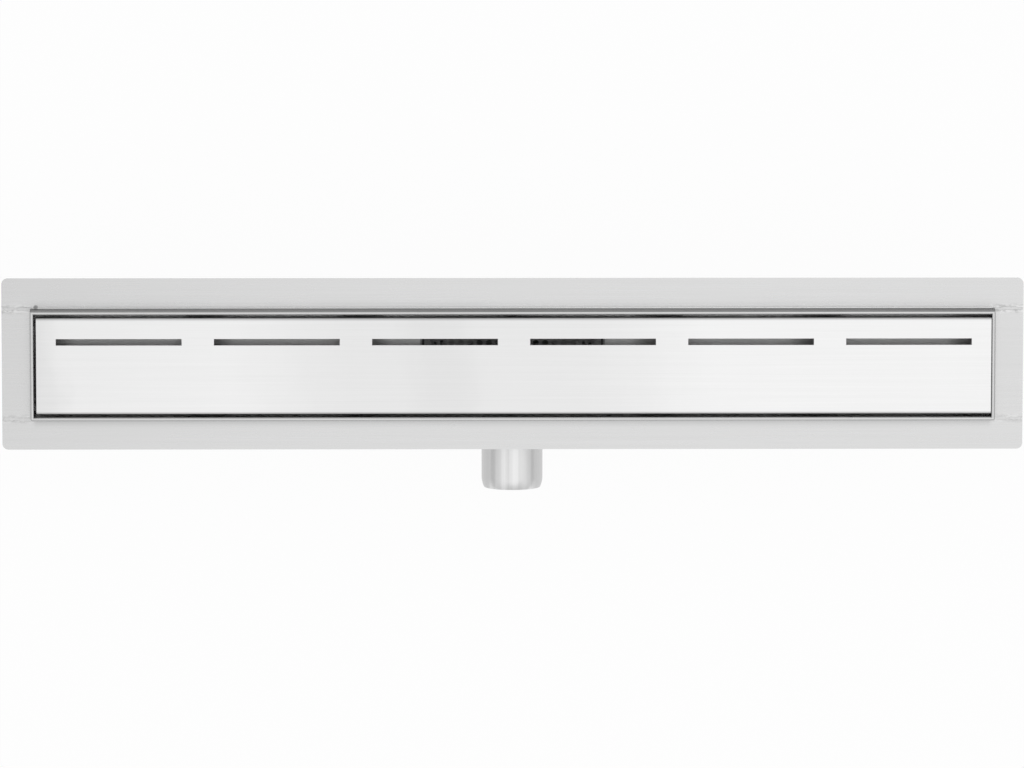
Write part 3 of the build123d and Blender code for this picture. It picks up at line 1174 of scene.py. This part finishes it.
@dataclass
class Sump:
    """The tub under the well, with the trap insert, its seal and the strainer.

    The painted shade on the strainer's plain ends and the painted shadow along their edges are given
    as the distances from the end where the darkness is full and where it stops, and its depth.
    """

    tub: SteelFinish = SteelFinish("pickled_tub_steel", "sump_steel", 0.56, 0.42, BrushAxis.UPRIGHT)
    strainer: PlainFinish = PlainFinish("grey_strainer_plastic", "strainer_plastic", (0.73, 0.73, 0.73), 0.42)
    trap: PlainFinish = PlainFinish("grey_trap_plastic", "trap_plastic", (0.68, 0.68, 0.68), 0.45)
    seal: PlainFinish = PlainFinish("lip_ring_rubber", "seal_rubber", (0.018, 0.018, 0.018), 0.7)
    weld: PlainFinish = PlainFinish(
        "sump_weld", "sump_steel", (0.46, 0.45, 0.44), 0.42, 1.0, 0.7, 0.04 * MILLIMETRE, 260.0
    )
    ring_bead: HandBead = HandBead(
        1.7 * MILLIMETRE, 0.7 * MILLIMETRE, 0.2, ripple=1.7 * MILLIMETRE, ripple_rise=0.14, seed=31
    )
    stitch_bead: HandBead = HandBead(1.4 * MILLIMETRE, 0.8 * MILLIMETRE)
    # Painted shade on the strainer's plain ends, and painted shadow in the gap along their edges.
    plain_end: tuple[float, float, float] = (7.0 * MILLIMETRE, 15.0 * MILLIMETRE, 0.32)
    plain_edge: tuple[float, float, float] = (1.0 * MILLIMETRE, 2.2 * MILLIMETRE, 0.85)
    stitch_length: float = 15.0 * MILLIMETRE
    stitch_places: tuple[float, ...] = (-0.024, 0.0, 0.024)
    stitch_seeds: tuple[int, int] = (60, 70)

    def strainer_material(self) -> bpy.types.Material:
        """Paint shade on the strainer's plastic over its plain ends, and a painted shadow nearly to black along
        their edges.

        Returns:
            The material.
        """
        made, tint = self.strainer.surface()
        from_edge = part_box("strainer")[1].x - abs(made.place().x)
        # Painted shade on the ends and painted shadow along their edges.
        for start, end, dark in (self.plain_end, self.plain_edge):
            tint = tint * from_edge.ramp(start, end, 1.0 - dark, 1.0)
        return made.paint(self.strainer.colour, tint)

    def pipe_weld(self) -> bpy.types.Object:
        """Lay the fillet bead all round the pipe, where it leaves the tub's front wall.

        Returns:
            The new piece.
        """
        sheet = MeshSheet()
        centre = np.array((0.0, SIZES.pipe_front, SIZES.pipe_axis))
        sheet.take(self.ring_bead.ring(centre, SIZES.pipe_radius), True, True)
        return sheet.piece("pipe_weld_ring", self.weld.material(), BEAD_SHARP)

    def tub_welds(self) -> bpy.types.Object:
        """Lay short stitches along the tub's two end edges, where it meets the trough's underside.

        Returns:
            The new piece.
        """
        sheet = MeshSheet()
        low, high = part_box("sump_tub")
        for x, lean, seed in zip((low.x, high.x), (-1.0, 1.0), self.stitch_seeds):
            up = np.array((lean, 0.0, -1.0)) / math.sqrt(2.0)
            for step, place in enumerate(self.stitch_places):
                start = np.array((x, place - self.stitch_length / 2, SIZES.floor_under))
                stop = start + np.array((0.0, self.stitch_length, 0.0))
                one = replace(self.stitch_bead, seed=seed + step)
                sheet.take(one.straight(start, stop, up), False, True)
        return sheet.piece("tub_stitch_welds", self.weld.material(), BEAD_SHARP)

    def build(self) -> None:
        """Dress the tub and what hangs in it, and add the welds."""
        dress(self.tub.material(), "sump_tub")
        dress(self.strainer_material(), "strainer")
        dress(self.trap.material(), "trap_insert")
        dress(self.seal.material(), "trap_seal")
        settle(self.pipe_weld(), "drain", self.weld.slot)
        settle(self.tub_welds(), "drain", self.weld.slot)


def rounded_profile(corners: np.ndarray, radii: np.ndarray, steps: int = 7) -> np.ndarray:
    """A closed outline with each corner rounded by a quadratic curve.

    The curve starts and ends a radius away from the corner c, at a and b, and its point at the
    share t is (1-t)^2 a + 2t(1-t) c + t^2 b.

    Args:
        corners: The outline's corners in order, as rows of two numbers.
        radii: How far from each corner its curve starts.
        steps: The number of points on each curve.

    Returns:
        The outline's points in order.
    """
    before = np.roll(corners, 1, axis=0) - corners
    after = np.roll(corners, -1, axis=0) - corners
    first = corners + before / np.linalg.norm(before, axis=1, keepdims=True) * radii[:, None]
    last = corners + after / np.linalg.norm(after, axis=1, keepdims=True) * radii[:, None]
    share = np.linspace(0.0, 1.0, steps)[None, :, None]
    left = 1 - share
    curve = left ** 2 * first[:, None] + 2 * share * left * corners[:, None] + share ** 2 * last[:, None]
    return curve.reshape(-1, 2)


@dataclass
class LevellingFeet:
    """The four feet: brackets with their weld beads, nuts, threaded studs and pads.

    Shares of the thread, nuts and pads are of their depth, flats, radius and height. The pad's
    rounds are given for its corners in order, as shares of one radius.
    """

    plated: PlainFinish = PlainFinish(
        "zinc_plate", "plated_steel", (0.58, 0.59, 0.60), 0.36, 1.0, 0.35, 0.01 * MILLIMETRE
    )
    thread: PlainFinish = PlainFinish(
        "zinc_thread", "plated_steel", (0.52, 0.53, 0.54), 0.33, 1.0, 0.3, 0.005 * MILLIMETRE
    )
    pad: PlainFinish = PlainFinish("pad_plastic", "foot_plastic", (0.035, 0.035, 0.037), 0.5)
    bead_finish: PlainFinish = PlainFinish(
        "bracket_weld", "plated_steel", (0.42, 0.41, 0.40), 0.45, 1.0, 0.7, 0.05 * MILLIMETRE, 260.0
    )
    numbers: tuple[int, ...] = (1, 2, 3, 4)
    pitch: float = 1.25 * MILLIMETRE
    thread_depth: float = 0.72 * MILLIMETRE
    flank_slope: float = 1.35
    crest_share: float = 0.12
    tip_share: float = 0.97
    rows_per_turn: int = 8
    stud_sides: int = 28
    stud_sharp: float = 50.0
    nut_chamfer: float = 0.55
    nut_sides: int = 72
    nut_rows: int = 9
    nut_crowding: float = 1.6
    nut_sharp: float = 25.0
    socket_share: float = 1.03
    disc_rise: float = 1.0 / 3.0
    boss_foot: tuple[float, float] = (0.54, 0.67)
    boss_top: float = 0.53
    pad_round: float = 0.9 * MILLIMETRE
    pad_rounds: tuple[float, ...] = (0.01, 1.0, 1.0, 1.6, 0.8, 0.3)
    pad_sides: int = 72
    pad_sharp: float = 40.0
    bracket_sheet: float = 2.0 * MILLIMETRE
    bead: HandBead = HandBead(1.5 * MILLIMETRE, 0.9 * MILLIMETRE)
    bead_start: float = 4.0 * MILLIMETRE
    bead_stop: float = 1.0 * MILLIMETRE
    first_seed: int = 40

    def centre(self, number: int) -> np.ndarray:
        """The stud's axis in plan."""
        low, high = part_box(f"foot_stud_{number}")
        return np.array(((low.x + high.x) / 2, (low.y + high.y) / 2, 0.0))

    def stud_radius(self, number: int) -> float:
        """The stud's radius at its crests."""
        low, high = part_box(f"foot_stud_{number}")
        return (high.x - low.x) / 2

    def stud(self, number: int, material: bpy.types.Material) -> bpy.types.Object:
        """A threaded rod.

        At the turn t and height z the radius falls from the crest by the thread's depth times a
        triangle wave of z over the pitch less t over a full turn, with its top and bottom cut flat.
        Both ends are chamfered: the radius is also at most the core's radius, a little lessened,
        plus the distance to the end.

        Args:
            number: The foot's number.
            material: The finish.

        Returns:
            The new piece.
        """
        low, high = (corner.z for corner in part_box(f"foot_stud_{number}"))
        crest = self.stud_radius(number)
        core = crest - self.thread_depth
        z = np.linspace(low, high, int((high - low) / self.pitch * self.rows_per_turn))[:, None]
        turn = np.linspace(0.0, 2.0 * np.pi, self.stud_sides, endpoint=False)[None, :]
        phase = np.mod(z / self.pitch - turn / (2.0 * np.pi), 1.0)
        wave = np.clip(np.abs(2.0 * phase - 1.0) * self.flank_slope - self.crest_share, 0.0, 1.0)
        from_end = np.minimum(z - low, high - z)
        radius = np.minimum(crest - self.thread_depth * wave, core * self.tip_share + from_end)
        side = np.stack(np.broadcast_arrays(radius * np.cos(turn), radius * np.sin(turn), z), axis=-1)
        poles = [np.broadcast_to(np.array((0.0, 0.0, end)), (1, self.stud_sides, 3)) for end in (low, high)]
        sheet = MeshSheet()
        sheet.take(np.concatenate([poles[0], side, poles[1]]) + self.centre(number), False, True)
        return sheet.piece(f"threaded_stud_{number}", material, self.stud_sharp)

    def nut(self, centre: np.ndarray, low: float, high: float, bore: float, flats: float) -> np.ndarray:
        """A hexagon nut with both ends chamfered.

        At the turn t the hexagon's radius is half the width over flats divided by the cosine of t,
        with t folded to within 30 degrees of a flat's middle. Near an end it is at most a little
        less than the flats' radius plus the distance from that end divided by the chamfer's slope.

        Args:
            centre: The axis in plan.
            low: The lower end.
            high: The upper end.
            bore: The radius of its hole.
            flats: Half its width over the flats.

        Returns:
            The grid, with one row for each turn and one column round the section.
        """
        turn = np.linspace(0.0, 2.0 * np.pi, self.nut_sides, endpoint=False)[:, None]
        folded = np.mod(turn + np.pi / 2.0 + np.pi / 6.0, np.pi / 3.0) - np.pi / 6.0
        climb = np.linspace(0.0, 1.0, self.nut_rows) ** self.nut_crowding * (high - low) / 2.0
        z = np.concatenate([low + climb, (high - climb)[::-1][1:]])[None, :]
        from_end = np.minimum(z - low, high - z)
        chamfer = self.tip_share * flats + from_end / self.nut_chamfer
        radius = np.minimum(flats / np.cos(folded), chamfer)
        hole = np.full_like(turn, bore)
        radius = np.concatenate([hole, radius, hole], axis=1)
        z = np.concatenate([[[low]], z, [[high]]], axis=1)
        grid = np.broadcast_arrays(radius * np.cos(turn), radius * np.sin(turn), z)
        return np.stack(grid, axis=-1) + centre

    def nuts(self, material: bpy.types.Material) -> bpy.types.Object:
        """Make all eight nuts, two to a foot, above and below the bracket's leg.

        Args:
            material: The finish.

        Returns:
            The new piece.
        """
        low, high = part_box("foot_nuts")
        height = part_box("foot_bracket_1")[0].z - low.z
        bore = self.stud_radius(1)
        flats = high.y - self.centre(2)[1]
        sheet = MeshSheet()
        for number in self.numbers:
            for base in (low.z, high.z - height):
                sheet.take(self.nut(self.centre(number), base, base + height, bore, flats), True, True)
        return sheet.piece("stud_nuts", material, self.nut_sharp)

    def foot_pad(self, number: int, material: bpy.types.Material) -> bpy.types.Object:
        """A turned pad: a disc, a cone and a boss, with rounded edges and a plain flat underside.

        Args:
            number: The foot's number.
            material: The finish.

        Returns:
            The new piece.
        """
        low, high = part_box(f"foot_pad_{number}")
        disc = (high.x - low.x) / 2
        rise = high.z - low.z
        socket = self.stud_radius(number) * self.socket_share
        foot_radius, foot_rise = self.boss_foot
        corners = np.array((
            (socket, 0.0),
            (disc, 0.0),
            (disc, rise * self.disc_rise),
            (disc * foot_radius, rise * foot_rise),
            (disc * self.boss_top, rise),
            (socket, rise),
        )) + np.array((0.0, low.z))
        outline = rounded_profile(corners, np.array(self.pad_rounds) * self.pad_round)
        sheet = MeshSheet()
        sheet.take(lathe(outline, self.pad_sides) + self.centre(number), True, True)
        return sheet.piece(f"round_pad_{number}", material, self.pad_sharp)

    def bracket_welds(self) -> bpy.types.Object:
        """Lay two upright beads at each bracket, along its edges on the trough's wall.

        Returns:
            The new piece.
        """
        sheet = MeshSheet()
        for number in self.numbers:
            low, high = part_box(f"foot_bracket_{number}")
            side = 1.0 if high.y > 0.0 else -1.0
            wall = max(abs(low.y), abs(high.y)) - self.bracket_sheet
            bottom = max(low.z, SIZES.floor_under + self.bead_start)
            one = replace(self.bead, seed=self.first_seed + number)
            for x, lean in ((low.x, -1.0), (high.x, 1.0)):
                up = np.array((lean, side, 0.0)) / math.sqrt(2.0)
                start = np.array((x, side * wall, bottom))
                stop = np.array((x, side * wall, high.z - self.bead_stop))
                sheet.take(one.straight(start, stop, up), False, True)
        return sheet.piece("bracket_weld_beads", self.bead_finish.material(), BEAD_SHARP)

    def build(self) -> None:
        """Dress the brackets and make the nuts, studs, pads and beads."""
        plated, thread, pad = self.plated.material(), self.thread.material(), self.pad.material()
        for number in self.numbers:
            body = f"foot_{number}"
            dress(plated, f"foot_bracket_{number}")
            settle(self.stud(number, thread), body, self.thread.slot, f"foot_stud_{number}")
            settle(self.foot_pad(number, pad), body, self.pad.slot, f"foot_pad_{number}")
        settle(self.nuts(plated), "drain", self.plated.slot, "foot_nuts")
        settle(self.bracket_welds(), "drain", self.bead_finish.slot)


@dataclass
class Studio:
    """The pale floor, the soft light from above and the camera of the photograph."""

    distance: float = 6.0
    tilt_deg: float = 7.0
    lean_deg: float = -0.65
    roll_deg: float = 0.025
    aim: tuple[float, float, float] = (-0.0008, -0.0146, 0.0)
    lens: float = 260.14
    sensor: float = 36.0
    sight: float = 100.0
    floor_size: float = 16.0
    floor_gap: float = 0.2 * MILLIMETRE
    floor_tone: float = 0.92
    floor_rough: float = 0.9
    floor_glow: float = 0.95
    sky_level: float = 0.62
    sky_rise: float = 0.27
    dark_band: float = 0.38
    dark_behind: float = 0.21
    light_ends: float = 0.25
    least_level: float = 0.06
    lamp_size: tuple[float, float] = (2.6, 1.8)
    lamp_energy: float = 3.5
    lamp_place: tuple[float, float, float] = (0.45, -0.35, 2.2)

    def floor_material(self) -> bpy.types.Material:
        """A pale, dull finish that glows to the camera and to reflections, and is clear from below.

        Returns:
            The material.
        """
        made = Surface("pale_floor")
        graph = made.graph
        made.shader.inputs["Base Color"].default_value = (self.floor_tone,) * 3 + (1.0,)
        made.shader.inputs["Roughness"].default_value = self.floor_rough
        made.shader.inputs["Specular IOR Level"].default_value = 0.0
        rays = graph.outputs(graph.add("LightPath"))
        camera = rays["Is Camera Ray"]
        seen = camera.larger(rays["Is Glossy Ray"]).larger(rays["Is Transmission Ray"])
        glow = graph.add("Emission").outputs["Emission"]
        pale = graph.mix(seen * self.floor_glow, made.shader.outputs["BSDF"], glow)
        below = graph.outputs(graph.add("NewGeometry"))["Backfacing"] * camera
        clear = graph.add("BsdfTransparent").outputs["BSDF"]
        graph.feed(made.output.inputs["Surface"], graph.mix(below, pale, clear))
        return made.material

    def floor(self) -> None:
        """A wide floor under the feet at their full reach."""
        half = self.floor_size / 2
        z = SIZES.ground - self.floor_gap
        corners = [(-half, -half, z), (half, -half, z), (half, half, z), (-half, half, z)]
        mesh = bpy.data.meshes.new("floor")
        mesh.from_pydata(corners, [], [(0, 1, 2, 3)])
        mesh.materials.append(self.floor_material())
        plane = bpy.data.objects.new("floor", mesh)
        bpy.context.scene.collection.objects.link(plane)

    def world(self) -> None:
        """Soft light all round, with a darker band low down that is deepest behind the drain.

        With the direction (x, y, z) and z at least 0, the level is sky_level + sky_rise z, less the
        square of 1 - z times dark_band + dark_behind y - light_ends x squared. To the camera the
        world is white.
        """
        world = bpy.data.worlds.new("studio")
        world.use_nodes = True
        bpy.context.scene.world = world
        graph = Graph(world.node_tree)
        x, y, z = graph.split(graph.add("TexCoord").outputs["Generated"])
        z = z.larger(0.0)
        band = (1.0 - z) ** 2.0 * (y * self.dark_behind + self.dark_band - x ** 2.0 * self.light_ends)
        level = (z * self.sky_rise + self.sky_level - band).larger(self.least_level)
        seen = graph.outputs(graph.add("LightPath"))["Is Camera Ray"]
        background = graph.add("Background", {"Color": graph.grey(level.larger(seen))})
        graph.add("OutputWorld", {"Surface": background.outputs["Background"]})

    def lamp(self) -> None:
        """One large soft box overhead, a little to the right and in front."""
        light = bpy.data.lights.new("soft_box", "AREA")
        light.shape = "RECTANGLE"
        light.size, light.size_y = self.lamp_size
        light.energy = self.lamp_energy
        lamp = bpy.data.objects.new("soft_box", light)
        lamp.location = self.lamp_place
        lamp.rotation_euler = (-Vector(self.lamp_place)).to_track_quat("-Z", "Y").to_euler()
        lamp.visible_camera = False
        bpy.context.scene.collection.objects.link(lamp)

    def camera(self) -> None:
        """The photograph's view: from far above, leaning a little to the back."""
        data = bpy.data.cameras.new("camera")
        data.lens = self.lens
        data.sensor_width = self.sensor
        data.clip_end = self.sight
        camera = bpy.data.objects.new("camera", data)
        turns = (-self.tilt_deg, self.lean_deg, self.roll_deg)
        camera.rotation_euler = [math.radians(turn) for turn in turns]
        back = camera.rotation_euler.to_matrix().col[2]
        camera.location = Vector(self.aim) + back * self.distance
        bpy.context.scene.collection.objects.link(camera)
        bpy.context.scene.camera = camera

    def build(self) -> None:
        """Set the stage."""
        bpy.context.scene.view_settings.view_transform = "Standard"
        self.floor()
        self.world()
        self.lamp()
        self.camera()


def main() -> None:
    """Build every sub-assembly in order."""
    logging.basicConfig(level=logging.INFO, format="%(name)s: %(message)s")
    for assembly in (ChannelBody(), Cover(), OutletPipe(), Sump(), LevellingFeet(), Studio()):
        assembly.build()
        log.info("%s is built", type(assembly).__name__)


if __name__ == "__main__":
    main()
